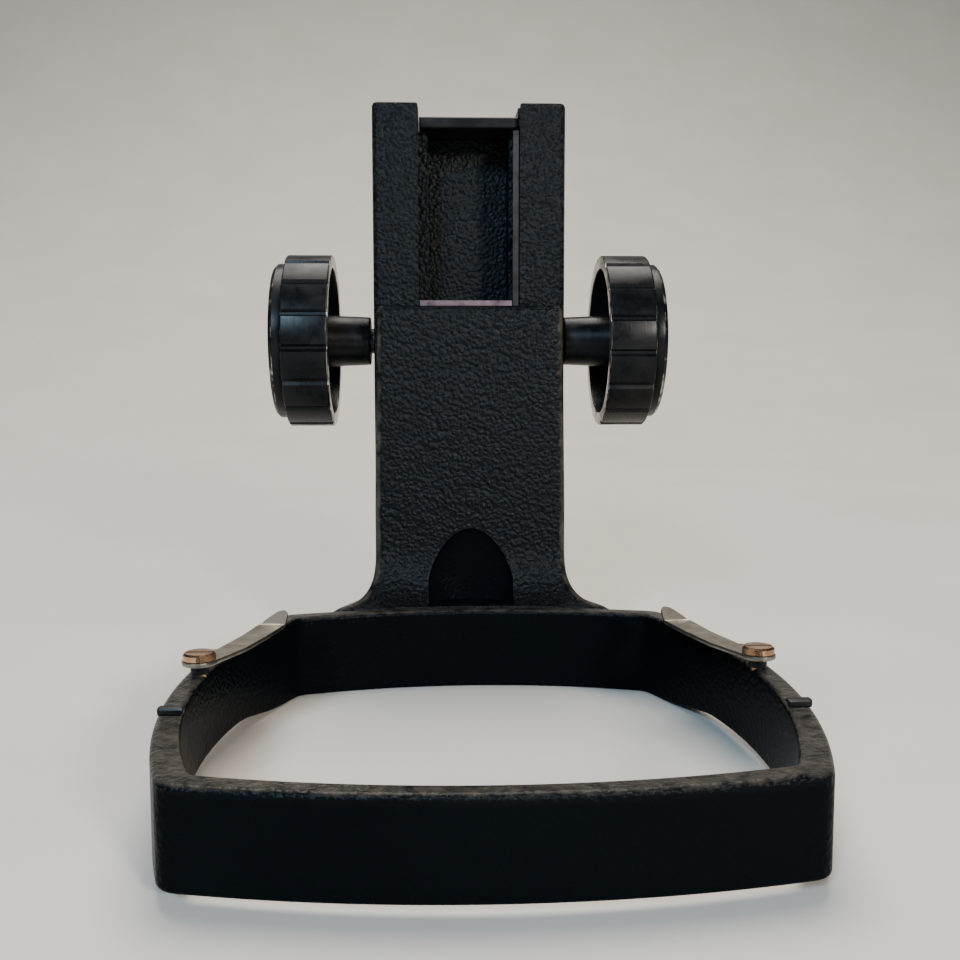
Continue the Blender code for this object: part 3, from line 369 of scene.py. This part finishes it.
def foot_loop():
    """The slab and foot: rounded sections stacked up, spreading below the flare by quarter curves.
    The scoop is let into the front as half an ellipse, whose width follows an arch with height."""
    top, foot = YOKE_TOP, FOOT_Z
    turn = np.linspace(0.0, math.pi / 2.0, 7)
    floor = RIM_Z + 0.15 * MM
    rise = floor + (FLARE_TOP - floor) * (1 - np.cos(np.linspace(0.0, math.pi / 2.0, 34)))
    peak = SCOOP_TOP_Z - (SCOOP_TOP_Z - FLARE_TOP) * np.linspace(1.0, 0.0, 15)[1:] ** 2
    heights = np.concatenate((foot + 0.8 * MM * (1 - np.cos(turn)), np.linspace(5 * MM, floor, 6),
                              rise, peak, np.linspace(SCOOP_TOP_Z, top - SLAB_ARRIS, 12)[1:],
                              top - SLAB_ARRIS + SLAB_ARRIS * np.sin(turn[1:])))[:, None]
    shrink = np.concatenate((0.8 * MM * (1 - np.sin(turn)), np.zeros(6 + 34 + 14 + 11),
                             SLAB_ARRIS * (1 - np.cos(turn[1:]))))[:, None]
    scooped = np.concatenate((np.zeros(7 + 6), np.ones(34 + 14), np.zeros(11 + 6)))[:, None]
    drop = np.clip((FLARE_TOP - heights) / (FLARE_TOP - RIM_Z), 0.0, 1.0)
    sideways = 1 - (1 - drop ** FLARE_POWER) ** (1 / FLARE_POWER)
    forward = 1 - np.sqrt(1 - drop ** 2)
    narrowed = np.clip((heights - SLAB_DRAFT_Z) / (top - SLAB_DRAFT_Z), 0.0, 1.0)
    slab_half = SLAB_HALF_LOW + (SLAB_HALF_TOP - SLAB_HALF_LOW) * narrowed
    half = slab_half + FLARE_SIDE * sideways - shrink
    half_back = slab_half + FLARE_BACK_SIDE * sideways - shrink
    face = SLAB_FACE - FLARE_FRONT * forward + shrink
    bow = FLARE_BOW * forward
    corner = np.maximum(SLAB_ARRIS - shrink, 0.3 * MM)
    climb = np.clip((heights - SCOOP_SPRING_Z) / (SCOOP_TOP_Z - SCOOP_SPRING_Z), 0.0, 1.0)
    share = np.sqrt(1 - climb ** SCOOP_POWER)
    open_half = SCOOP_HALF * share
    sunk = scooped * (SLAB_FACE + SCOOP_DEPTH * share - face)

    side = np.linspace(0.0, 1.0, 8)
    side_x = half_back + (half - half_back) * side
    side_y = SLAB_BACK + (face + corner - bow - SLAB_BACK) * side
    arris_x = half - corner * (1 - np.cos(turn[1:]))
    arris_y = face + corner * (1 - np.sin(turn[1:])) - bow * (arris_x / half) ** 2
    run_x = half - corner + (open_half - half + corner) * np.linspace(0.0, 1.0, 14)[1:]
    run_y = face - bow * (run_x / half) ** 2
    angle = 0.5 * math.pi * np.linspace(1.0, 0.0, 18)[1:]
    arch_x = open_half * np.sin(angle)
    arch_y = face - bow * (arch_x / half) ** 2 + sunk * np.cos(angle)
    x = np.concatenate((side_x, arris_x, run_x, arch_x), 1)
    y = np.concatenate((side_y, arris_y, run_y, arch_y), 1)
    z = np.broadcast_to(heights, x.shape)
    right = np.stack((x, y, z), -1)
    left = right[:, ::-1] * (-1, 1, 1)
    rubbed = np.zeros(x.shape[1])
    rubbed[8:14] = (0.5, .8, .95, .9, .6, .3)
    rubbed = np.maximum(np.broadcast_to(rubbed, x.shape), (shrink > 0) * (heights > RIM_Z) * 0.25)
    rubbed[:, 26:28] += 0.6 * scooped                       # the scoop's sharp edge
    rubbed = np.concatenate((rubbed, rubbed[:, ::-1][:, 1:]), 1)
    # painted shade: the scoop's hollow is marked dull, so that it reflects less and reads darker
    dull = scooped * (np.arange(x.shape[1]) > 27)
    dull = np.concatenate((dull, dull[:, ::-1][:, 1:]), 1)
    return np.concatenate((right, left[:, 1:]), 1), rubbed, dull, False


yoke = skin("yoke_skin", [foot_loop(), ring_sheet()], "yoke")
yoke.data.materials.append(wrinkle_paint("yoke_enamel", (0.0014, 0.0021, 0.0030), 950.0, 0.25))
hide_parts("yoke_casting")

# ---------------------------------------------------------------------------------------------
# The bare metal pieces. The slide is milled and greased, the screws are turned steel, and the
# shaft, gib and washer are darkened. The rack, pinion, bushes and clip screws are brass that has
# gone brown, and the clips are nickel-plated spring steel.


def bare_metal(name, colour, stain, roughness, tool, across):
    """Bare metal: fine tool marks as stretched noise, and stains as slow noise in the colour."""
    material = bpy.data.materials.new(name)
    material.use_nodes = True
    nodes, links = material.node_tree.nodes, material.node_tree.links
    nodes.clear()

    tool_frame = nodes.new("NodeFrame")
    tool_frame.label = "tool marks"
    stain_frame = nodes.new("NodeFrame")
    stain_frame.label = "tarnish and grease"
    place = nodes.new("ShaderNodeTexCoord")
    place.label = "position on the piece"
    stretch = nodes.new("ShaderNodeMapping")
    stretch.label = "marks run one way"
    stretch.inputs["Scale"].default_value = across
    marks = nodes.new("ShaderNodeTexNoise")
    marks.label = "tool marks"
    marks.inputs["Scale"].default_value = tool
    marks.inputs["Detail"].default_value = 4.0
    cut_depth = nodes.new("ShaderNodeBump")
    cut_depth.label = "depth of the marks"
    cut_depth.inputs["Strength"].default_value = 0.35
    cut_depth.inputs["Distance"].default_value = 0.00005
    cloud = nodes.new("ShaderNodeTexNoise")
    cloud.label = "tarnish"
    cloud.inputs["Scale"].default_value = 230.0
    cloud.inputs["Detail"].default_value = 5.0
    spread = nodes.new("ShaderNodeMapRange")
    spread.label = "how far the tarnish goes"
    spread.inputs["From Min"].default_value = 0.38
    spread.inputs["From Max"].default_value = 0.66
    dull = nodes.new("ShaderNodeMapRange")
    dull.label = "tarnish is duller"
    dull.inputs["To Min"].default_value = roughness
    dull.inputs["To Max"].default_value = roughness + 0.2
    tone = nodes.new("ShaderNodeMix")
    tone.label = "metal under its tarnish"
    tone.data_type = "RGBA"
    tone.inputs["A"].default_value = (*colour, 1.0)
    tone.inputs["B"].default_value = (*stain, 1.0)
    metal = nodes.new("ShaderNodeBsdfPrincipled")
    metal.label = "bare metal"
    metal.inputs["Metallic"].default_value = 1.0
    output = nodes.new("ShaderNodeOutputMaterial")
    output.label = "surface"

    for node in (stretch, marks, cut_depth):
        node.parent = tool_frame
    for node in (cloud, spread, dull, tone):
        node.parent = stain_frame
    for column, members in enumerate(((place,), (stretch, cloud), (marks, spread),
                                      (cut_depth, tone, dull), (metal,), (output,))):
        for row, node in enumerate(members):
            node.location = (column * 240 - 700, 300 - row * 260)

    links.new(place.outputs["Object"], stretch.inputs["Vector"])
    links.new(place.outputs["Object"], cloud.inputs["Vector"])
    links.new(stretch.outputs["Vector"], marks.inputs["Vector"])
    links.new(marks.outputs["Fac"], cut_depth.inputs["Height"])
    links.new(cloud.outputs["Fac"], spread.inputs["Value"])
    links.new(spread.outputs["Result"], tone.inputs["Factor"])
    links.new(spread.outputs["Result"], dull.inputs["Value"])
    links.new(tone.outputs["Result"], metal.inputs["Base Color"])
    links.new(dull.outputs["Result"], metal.inputs["Roughness"])
    links.new(cut_depth.outputs["Normal"], metal.inputs["Normal"])
    links.new(metal.outputs["BSDF"], output.inputs["Surface"])
    return material


milled = bare_metal("greased_slide", (0.23, 0.165, 0.185), (0.055, 0.038, 0.046), 0.3, 900.0,
                    (1, 1, 9))
steel = bare_metal("turned_steel", (0.52, 0.52, 0.53), (0.30, 0.27, 0.24), 0.26, 1500.0, (4, 1, 1))
brass = bare_metal("tarnished_brass", (0.50, 0.31, 0.18), (0.20, 0.115, 0.07), 0.2, 1400.0,
                   (1, 1, 6))
spring = bare_metal("worn_nickel", (0.27, 0.25, 0.215), (0.16, 0.135, 0.105), 0.33, 700.0, (1, 5, 1))
blued = bare_metal("blued_shaft", (0.035, 0.036, 0.04), (0.02, 0.018, 0.017), 0.3, 1500.0,
                   (4, 1, 1))
bare = {milled: ["dovetail_slide"], blued: ["pinion_shaft", "dovetail_gib", "tension_washer"],
        brass: ["shaft_bush_left", "shaft_bush_right", "focus_rack",
                "pinion_gear", "clip_screw_left", "clip_screw_right"],
        spring: ["clip_left", "clip_right"],
        steel: ["stop_plate_screw_1", "stop_plate_screw_2", "gib_screw_1", "gib_screw_2",
                "gib_screw_3", "slide_screw_1", "slide_screw_2", "slide_screw_3",
                "slide_screw_4", "rack_screw_1", "rack_screw_2", "rack_screw_3",
                "knob_set_screw_left", "knob_set_screw_right"]}
for metal, members in bare.items():
    for member in members:
        nodes_of[member].data.materials.clear()
        nodes_of[member].data.materials.append(metal)

# ---------------------------------------------------------------------------------------------
# The two focus knobs: turned and fluted alloy, open towards the housing, on the pinion's shaft.
# They are dipped in smooth black enamel, which shows turning marks, dust and a few scuffs, and
# has worn to bare metal along the rims.


def smooth_enamel(name, shade, gloss, turning):
    """Smooth black enamel on turned metal: rings about X as relief, dust as noise, worn rims."""
    material = bpy.data.materials.new(name)
    material.use_nodes = True
    nodes, links = material.node_tree.nodes, material.node_tree.links
    nodes.clear()

    ring_frame = nodes.new("NodeFrame")
    ring_frame.label = "turning marks"
    wear_frame = nodes.new("NodeFrame")
    wear_frame.label = "dust, scuffs and worn rims"
    place = nodes.new("ShaderNodeTexCoord")
    place.label = "position on the piece"
    fine = nodes.new("ShaderNodeTexNoise")
    fine.label = "ripple in the enamel"
    fine.inputs["Scale"].default_value = 420.0
    fine.inputs["Detail"].default_value = 2.0
    stretch = nodes.new("ShaderNodeMapping")
    stretch.label = "marks run round the axis"
    stretch.inputs["Scale"].default_value = turning
    lathe = nodes.new("ShaderNodeTexNoise")
    lathe.label = "lathe marks"
    lathe.inputs["Scale"].default_value = 300.0
    lathe.inputs["Detail"].default_value = 4.0
    height = nodes.new("ShaderNodeMath")
    height.label = "ripple and marks together"
    height.operation = "MULTIPLY_ADD"
    height.inputs[1].default_value = 0.6
    relief = nodes.new("ShaderNodeBump")
    relief.label = "relief of the enamel"
    relief.inputs["Strength"].default_value = 0.3
    relief.inputs["Distance"].default_value = 0.00006
    dust = nodes.new("ShaderNodeTexNoise")
    dust.label = "dust and finger marks"
    dust.inputs["Scale"].default_value = 75.0
    dust.inputs["Detail"].default_value = 6.0
    dust.inputs["Roughness"].default_value = 0.7
    dusty = nodes.new("ShaderNodeMapRange")
    dusty.label = "where dust holds"
    dusty.inputs["From Min"].default_value = 0.46
    dusty.inputs["From Max"].default_value = 0.8
    sheen = nodes.new("ShaderNodeMapRange")
    sheen.label = "dust dulls the gloss"
    sheen.inputs["To Min"].default_value = gloss
    sheen.inputs["To Max"].default_value = gloss + 0.3
    marks = nodes.new("ShaderNodeAttribute")
    marks.label = "rims that hands rub"
    marks.attribute_name = "rubbed"
    grit = nodes.new("ShaderNodeTexNoise")
    grit.label = "uneven rubbing"
    grit.inputs["Scale"].default_value = 190.0
    grit.inputs["Detail"].default_value = 5.0
    rubbed = nodes.new("ShaderNodeMath")
    rubbed.label = "rubbing along the rims"
    rubbed.operation = "MULTIPLY"
    bared = nodes.new("ShaderNodeMapRange")
    bared.label = "where metal shows"
    bared.inputs["From Min"].default_value = 0.42
    bared.inputs["From Max"].default_value = 0.55
    tone = nodes.new("ShaderNodeMix")
    tone.label = "enamel under its dust"
    tone.data_type = "RGBA"
    tone.inputs["A"].default_value = (*shade, 1.0)
    tone.inputs["B"].default_value = (0.012, 0.012, 0.012, 1.0)
    worn = nodes.new("ShaderNodeMix")
    worn.label = "bare alloy on the rims"
    worn.data_type = "RGBA"
    worn.inputs["B"].default_value = (0.42, 0.39, 0.35, 1.0)
    enamel = nodes.new("ShaderNodeBsdfPrincipled")
    enamel.label = "smooth black enamel"
    enamel.inputs["Specular IOR Level"].default_value = 0.13
    output = nodes.new("ShaderNodeOutputMaterial")
    output.label = "surface"

    for node in (fine, stretch, lathe, height, relief):
        node.parent = ring_frame
    for node in (dust, dusty, sheen, marks, grit, rubbed, bared, tone, worn):
        node.parent = wear_frame
    for column, members in enumerate(((place, marks), (fine, stretch, dust, grit),
                                      (lathe, dusty, rubbed), (height, sheen, bared),
                                      (relief, tone), (worn,), (enamel,), (output,))):
        for row, node in enumerate(members):
            node.location = (column * 240 - 900, 300 - row * 260)

    for node in (fine, stretch, dust, grit):
        links.new(place.outputs["Object"], node.inputs["Vector"])
    links.new(stretch.outputs["Vector"], lathe.inputs["Vector"])
    links.new(fine.outputs["Fac"], height.inputs[0])
    links.new(lathe.outputs["Fac"], height.inputs[2])
    links.new(height.outputs["Value"], relief.inputs["Height"])
    links.new(dust.outputs["Fac"], dusty.inputs["Value"])
    links.new(dusty.outputs["Result"], sheen.inputs["Value"])
    links.new(dusty.outputs["Result"], tone.inputs["Factor"])
    links.new(marks.outputs["Fac"], rubbed.inputs[0])
    links.new(grit.outputs["Fac"], rubbed.inputs[1])
    links.new(rubbed.outputs["Value"], bared.inputs["Value"])
    links.new(tone.outputs["Result"], worn.inputs["A"])
    links.new(bared.outputs["Result"], worn.inputs["Factor"])
    links.new(bared.outputs["Result"], enamel.inputs["Metallic"])
    links.new(worn.outputs["Result"], enamel.inputs["Base Color"])
    links.new(sheen.outputs["Result"], enamel.inputs["Roughness"])
    links.new(relief.outputs["Normal"], enamel.inputs["Normal"])
    links.new(enamel.outputs["BSDF"], output.inputs["Surface"])
    return material


knob_enamel = smooth_enamel("knob_enamel", (0.0030, 0.0032, 0.0038), 0.26, (7.0, 0.4, 0.4))
fitting_enamel = smooth_enamel("fitting_enamel", (0.0040, 0.0042, 0.0050), 0.30, (1.0, 1.0, 1.0))
for member in ("top_stop_plate", "rim_lug_left", "rim_lug_right", "clip_post_left",
               "clip_post_right"):
    nodes_of[member].data.materials.clear()
    nodes_of[member].data.materials.append(fitting_enamel)

shaft_low, shaft_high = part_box("pinion_shaft")
AXIS = np.array((0.0, (shaft_low.y + shaft_high.y) / 2.0, (shaft_low.z + shaft_high.z) / 2.0))
KNOB_RADIUS = 23.86 * MM
SKIRT = 12.4 * MM
FLUTES = 16


def turned(profile, rubbed, way, phase, groove_depth):
    """A profile of (way along X, radius) turned about the axis, with its largest radii fluted."""
    around = np.linspace(0.0, 2.0 * math.pi, FLUTES * 14, endpoint=False)
    along, radius = profile[:, :1], profile[:, 1:]
    beat = np.abs(((around - phase) * FLUTES / (2 * math.pi) + 0.5) % 1.0 - 0.5)[None]
    groove = np.clip((0.085 - beat) / 0.035, 0.0, 1.0)
    groove = groove * groove * (3.0 - 2.0 * groove)
    reach = np.minimum(radius, KNOB_RADIUS - groove_depth * groove)
    reach = reach if groove_depth else radius + 0.0 * beat
    x = np.broadcast_to(way * along, reach.shape)
    points = np.stack((x, AXIS[1] + reach * np.cos(around), AXIS[2] + reach * np.sin(around)), -1)
    return points, rubbed[:, None] + 0.0 * beat, 0.0, False


def knob_profile(rim, hub):
    """The knob's outline from the hub's bore, over hub, web and skirt, to the middle outside."""
    web = rim + SKIRT - 3.2 * MM
    out = rim + SKIRT
    corners = np.array(((hub + 0.05 * MM, 3.6 * MM), (hub, 6.7 * MM), (web - 0.1 * MM, 7.5 * MM),
                        (web, 20.3 * MM), (rim, 20.3 * MM), (rim, KNOB_RADIUS),
                        (out, KNOB_RADIUS), (out, 3.6 * MM)))
    radii = np.array((0.1, 0.5, 1.2, 1.2, 0.45, 0.55, 0.5, 0.1)) * MM
    return softened(corners, radii, 5, False)


for way, side, phase in ((-1.0, "left", math.radians(5.5)), (1.0, "right", math.radians(8.4))):
    knob_low, knob_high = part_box("knob_" + side)
    cap_low, cap_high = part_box("knob_cap_" + side)
    hub = min(abs(knob_low.x), abs(knob_high.x))
    out = max(abs(knob_low.x), abs(knob_high.x))
    profile = knob_profile(out - SKIRT, hub)
    rubbed = np.zeros(len(profile))
    rubbed[20:30] = (0, 0.6, 1.1, 1.3, 1.3, 1.3, 1.3, 1.1, 0.6, 0)
    rubbed[30:35] = (0, 0.5, 0.8, 0.5, 0)
    knob = skin("knob_skin_" + side, [turned(profile, rubbed, way, phase, 0.8 * MM)], "drive")
    knob.data.materials.append(knob_enamel)
    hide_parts("knob_" + side)

    near, far = min(abs(cap_low.x), abs(cap_high.x)), max(abs(cap_low.x), abs(cap_high.x))
    corners = np.array(((near, 1.0 * MM), (near, 21.46 * MM), (far - 0.9 * MM, 21.46 * MM),
                        (far, 20.56 * MM), (far, 16.6 * MM), (far - 0.35 * MM, 16.3 * MM),
                        (far - 0.35 * MM, 0.5 * MM)))
    profile = softened(corners, np.array((0.1, 0.2, 0.25, 0.25, 0.15, 0.15, 0.1)) * MM, 4, False)
    rubbed = np.zeros(len(profile))
    rubbed[8:16] = (0.7, 0.9, 0.9, 0.8, 0.8, 0.9, 0.9, 0.7)
    cap = skin("cap_skin_" + side, [turned(profile, rubbed, way, 0.0, 0.0)], "drive")
    cap.data.materials.append(knob_enamel)
    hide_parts("knob_cap_" + side)

# ---------------------------------------------------------------------------------------------
# The two spring clips: flat nickel-plated arms, cut from strip, that swivel on their screws and
# press on the head's shoulder. The free end is bent up to ride over it, and clipped to a slant.

CLIP_PLATE = 0.9 * MM


def clip_sheet(way, x, y, bottom):
    """An arm as a flat section with eased edges, swept between two outlines; past the bend line
    the run turns upwards on a small radius."""
    turn = np.linspace(0.0, 0.5 * math.pi, 6)
    outer = np.concatenate((np.stack((-3.7 * np.sin(turn), -3.7 * np.cos(turn)), 1),
                            ((-3.75, 2.1), (-3.6, 5.2), (-2.4, 7.4), (1.8, 8.6), (3.2, 13.8),
                             (4.8, 19.0), (6.1, 26.0), (7.1, 31.6), (7.9, 32.6), (9.1, 33.9),
                             (10.6, 35.2), (11.6, 35.9), (12.6, 36.25))))
    inner = np.concatenate((np.stack((3.7 * np.sin(turn), -3.7 * np.cos(turn)), 1),
                            ((4.7, 2.1), (6.1, 5.2), (7.0, 7.4), (8.0, 9.6), (9.5, 15.0),
                             (10.9, 20.0), (12.3, 26.0), (13.3, 30.8), (13.6, 31.9), (13.9, 33.4),
                             (14.0, 34.9), (13.9, 35.7), (13.5, 36.15))))
    knots = np.arange(len(outer))
    fine = np.linspace(0.0, len(outer) - 1.0, 85)
    edges = []
    for side in (outer, inner):
        edges.append(np.stack([np.interp(fine, knots, side[:, k]) for k in (0, 1)], 1))
    outer, inner = (softened(edge, 1.0, 3, False) * MM for edge in edges)
    bend = 31.2 * MM
    section = np.array(((0.0, 0.35), (0.0, 0.7), (0.12, 1.0), (0.5, 1.0), (0.88, 1.0), (1.0, 0.7),
                        (1.0, 0.35), (0.9, 0.0), (0.5, 0.0), (0.1, 0.0)))
    eased = np.array((0, 0, 1, 0, 1, 0, 0, 1, 0, 1.0))
    width = np.linalg.norm(inner - outer, axis=1)[:, None]
    share = section[:, 0] * (1 - eased) + eased * np.where(
        section[:, 0] < 0.5, 0.12 * MM / np.maximum(width, 0.24 * MM),
        1 - 0.12 * MM / np.maximum(width, 0.24 * MM))
    plan = outer[:, None] + (inner - outer)[:, None] * share[..., None]
    past = np.maximum(plan[..., 1] - bend, 0.0)
    radius = 1.6 * MM
    swing = np.minimum(past / radius, 0.25 * math.pi)
    straight = np.maximum(past - 0.25 * math.pi * radius, 0.0)
    lift = radius * (1 - np.cos(swing)) + straight * math.sin(0.25 * math.pi)
    ahead = np.minimum(plan[..., 1], bend) + radius * np.sin(swing) + straight * math.cos(
        0.25 * math.pi)
    thick = section[:, 1] * CLIP_PLATE
    points = np.stack((x - way * plan[..., 0], y + ahead - thick * np.sin(swing),
                       bottom + lift + thick * np.cos(swing)), -1)
    rubbed = np.array((.2, .6, 1, .3, 1, .6, .2, .1, .1, .1))
    return points, rubbed, 0.0, False


for way, side, joint in ((-1.0, "left", "left_clip_swivel"), (1.0, "right", "right_clip_swivel")):
    pivot = next(j for j in frame["joints"] if j["name"] == joint)["pos_m"]
    arm = skin("clip_skin_" + side, [clip_sheet(way, pivot[0], pivot[1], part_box("clip_" + side)[0].z)],
               side + "_clip", 40.0)
    arm.data.materials.append(spring)
    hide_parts("clip_" + side)

# ---------------------------------------------------------------------------------------------
# The surface that the mount stands on and the wall behind it: one matt off-white sheet that
# curves up behind. A cool window on the left, a wide skylight above and a warm lamp on the right
# stand in for the room.

across = np.linspace(-3.0, 3.0, 3)
t = np.linspace(0.0, 1.0, 25)
bend = 0.5 * math.pi * t
sweep_y = np.concatenate(((-2.5, -0.5), 0.5 + 2.6 * np.sin(bend), (3.1,)))
sweep_z = np.concatenate(((0.0, 0.0), 2.6 - 2.6 * np.cos(bend), (4.0,)))
floor_points = np.stack((np.broadcast_to(across, (sweep_y.size, 3)),
                         np.broadcast_to(sweep_y[:, None], (sweep_y.size, 3)),
                         np.broadcast_to(sweep_z[:, None], (sweep_y.size, 3))), -1)
index = np.arange(sweep_y.size * 3).reshape(-1, 3)
floor_mesh = bpy.data.meshes.new("floor_and_wall")
floor_mesh.from_pydata(floor_points.reshape(-1, 3).tolist(), [], np.stack(
    (index[:-1, :-1], index[:-1, 1:], index[1:, 1:], index[1:, :-1]), -1).reshape(-1, 4).tolist())
floor_mesh.shade_smooth()
floor = bpy.data.objects.new("floor_and_wall", floor_mesh)
bpy.context.scene.collection.objects.link(floor)

cloth = bpy.data.materials.new("table_top")
cloth.use_nodes = True
nodes, links = cloth.node_tree.nodes, cloth.node_tree.links
nodes.clear()
place = nodes.new("ShaderNodeTexCoord")
place.label = "position on the floor"
mottle = nodes.new("ShaderNodeTexNoise")
mottle.label = "faint mottling"
mottle.inputs["Scale"].default_value = 9.0
mottle.inputs["Detail"].default_value = 5.0
tone = nodes.new("ShaderNodeMix")
tone.label = "off-white"
tone.data_type = "RGBA"
tone.inputs["A"].default_value = (0.60, 0.55, 0.485, 1.0)
tone.inputs["B"].default_value = (0.71, 0.665, 0.60, 1.0)
matt = nodes.new("ShaderNodeBsdfPrincipled")
matt.label = "matt sheet"
matt.inputs["Roughness"].default_value = 0.7
output = nodes.new("ShaderNodeOutputMaterial")
output.label = "surface"
for column, node in enumerate((place, mottle, tone, matt, output)):
    node.location = (column * 240 - 500, 200)
links.new(place.outputs["Object"], mottle.inputs["Vector"])
links.new(mottle.outputs["Fac"], tone.inputs["Factor"])
links.new(tone.outputs["Result"], matt.inputs["Base Color"])
links.new(matt.outputs["BSDF"], output.inputs["Surface"])
floor_mesh.materials.append(cloth)

world = bpy.data.worlds.new("room_light")
bpy.context.scene.world = world
world.use_nodes = True
world.node_tree.nodes["Background"].inputs["Color"].default_value = (0.93, 0.96, 1.0, 1.0)
world.node_tree.nodes["Background"].inputs["Strength"].default_value = 0.07

for name, place, aim, size, power, colour in (
        ("window_left", (-0.55, -1.50, 0.95), (0.0, 0.0, 0.08), 0.4, 30.0, (0.50, 0.76, 1.0)),
        ("skylight", (0.0, 0.75, 2.05), (0.0, 0.4, 0.0), 1.6, 60.0, (1.0, 0.96, 0.90)),
        ("lamp_right", (0.62, -1.30, 0.52), (0.0, 0.0, 0.06), 0.22, 20.0, (1.0, 0.94, 0.87))):
    lamp = bpy.data.lights.new(name, "AREA")
    lamp.shape = "DISK"
    lamp.size = size
    lamp.energy = power
    lamp.color = colour
    light = bpy.data.objects.new(name, lamp)
    light.location = place
    light.rotation_euler = (Vector(aim) - Vector(place)).to_track_quat("-Z", "Y").to_euler()
    bpy.context.scene.collection.objects.link(light)

# ---------------------------------------------------------------------------------------------
# The camera: a wide lens a hand's breadth in front of the ring, looking slightly down.

lens = bpy.data.cameras.new("camera")
lens.lens = 42.0
lens.sensor_width = 36.0
lens.clip_start = 0.01
camera = bpy.data.objects.new("camera", lens)
camera.location = (-0.0098, -0.2543, 0.0840)
camera.rotation_euler = Euler((math.radians(84.29), math.radians(0.07), math.radians(-2.36)))
bpy.context.scene.collection.objects.link(camera)
bpy.context.scene.camera = camera
